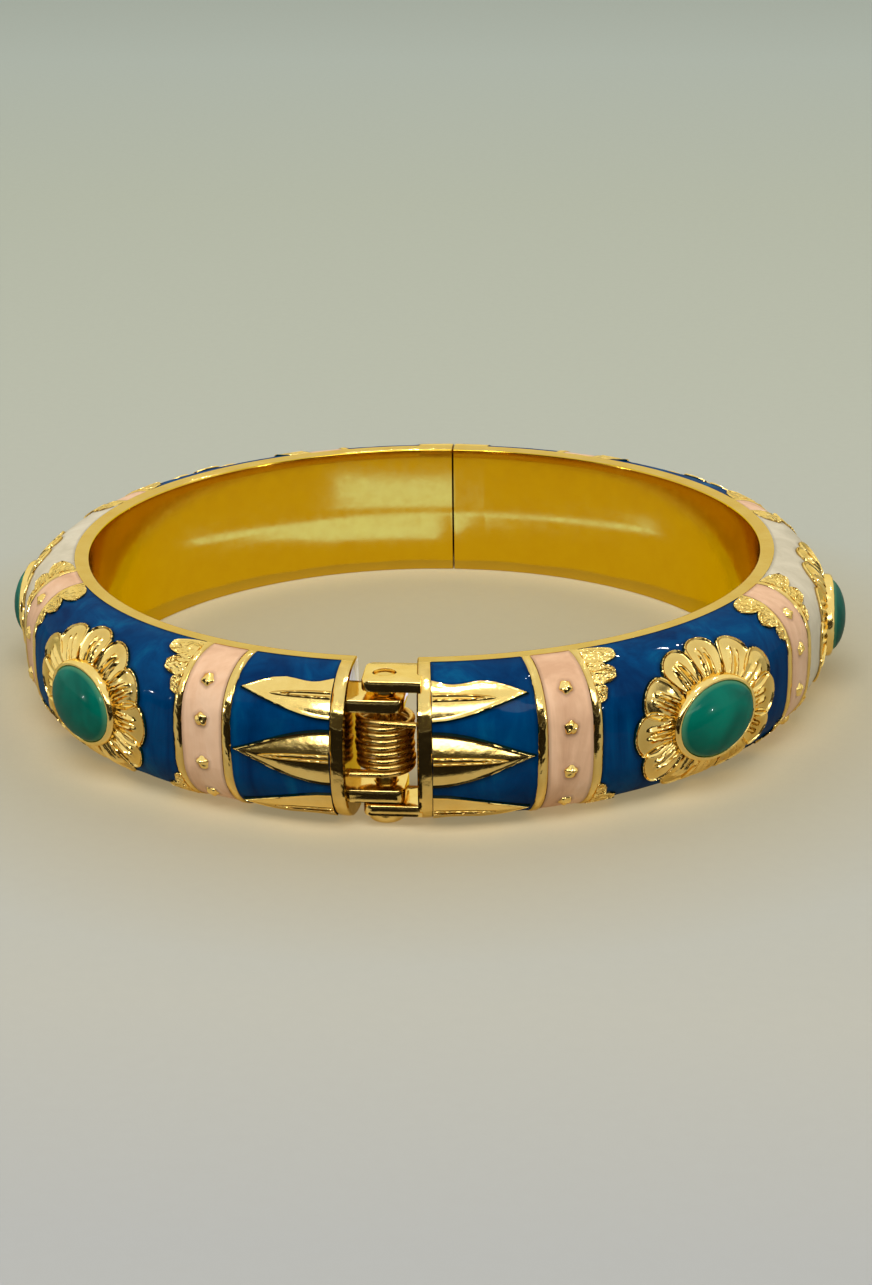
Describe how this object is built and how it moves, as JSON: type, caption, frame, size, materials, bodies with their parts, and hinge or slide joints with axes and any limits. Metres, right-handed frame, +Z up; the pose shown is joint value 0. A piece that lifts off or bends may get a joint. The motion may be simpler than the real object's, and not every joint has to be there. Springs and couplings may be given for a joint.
{
  "type": "hinged bangle",
  "caption": "Wide round bangle of gold-coloured cast metal in two spring-hinged halves, with raised leaves and flowers, enamel fields and oval green stones.",
  "frame": {"origin": "centre of the bangle on the surface that its lower rim rests on", "axes": "+Z up through the wrist opening; -Y towards the hinge, +Y towards the seam between the halves; +X towards the middle of the right half"},
  "size_m": [0.0734, 0.0702, 0.0125],
  "materials": {
    "gold": "polished cast metal with a gold-coloured plating, worn a little on its raised edges",
    "spring_wire": "drawn wire with a gold-coloured plating",
    "blue_enamel": "glossy enamel, streaked deep cobalt and teal blue",
    "pink_enamel": "glossy dusty pink enamel",
    "white_enamel": "glossy cream white enamel",
    "green_stone": "polished translucent teal green glass"
  },
  "bodies": {
    "left": {"left_half": "gold", "hinge_pin": "gold", "hinge_spring": "spring_wire", "left_front_stone": "green_stone", "left_side_stone": "green_stone", "left_back_stone": "green_stone", "left_front_leaf_enamel": "blue_enamel", "left_back_leaf_enamel": "blue_enamel", "left_pink_enamel_1": "pink_enamel", "left_pink_enamel_2": "pink_enamel", "left_pink_enamel_3": "pink_enamel", "left_pink_enamel_4": "pink_enamel", "left_front_blue_enamel": "blue_enamel", "left_back_blue_enamel": "blue_enamel", "left_white_enamel": "white_enamel"},
    "right": {"right_half": "gold", "right_front_stone": "green_stone", "right_side_stone": "green_stone", "right_back_stone": "green_stone", "right_front_leaf_enamel": "blue_enamel", "right_back_leaf_enamel": "blue_enamel", "right_pink_enamel_1": "pink_enamel", "right_pink_enamel_2": "pink_enamel", "right_pink_enamel_3": "pink_enamel", "right_pink_enamel_4": "pink_enamel", "right_front_blue_enamel": "blue_enamel", "right_back_blue_enamel": "blue_enamel", "right_white_enamel": "white_enamel"}
  },
  "joints": [
    {"name": "hinge", "type": "hinge", "parent": "left", "child": "right", "pos_m": [0, -0.0314, 0.00625], "axis": [0, 0, -1], "range_deg": [0, 60], "stiffness_Nm_per_rad": 0.12, "springref_deg": -28.65, "deforming": ["hinge_spring"]}
  ]
}
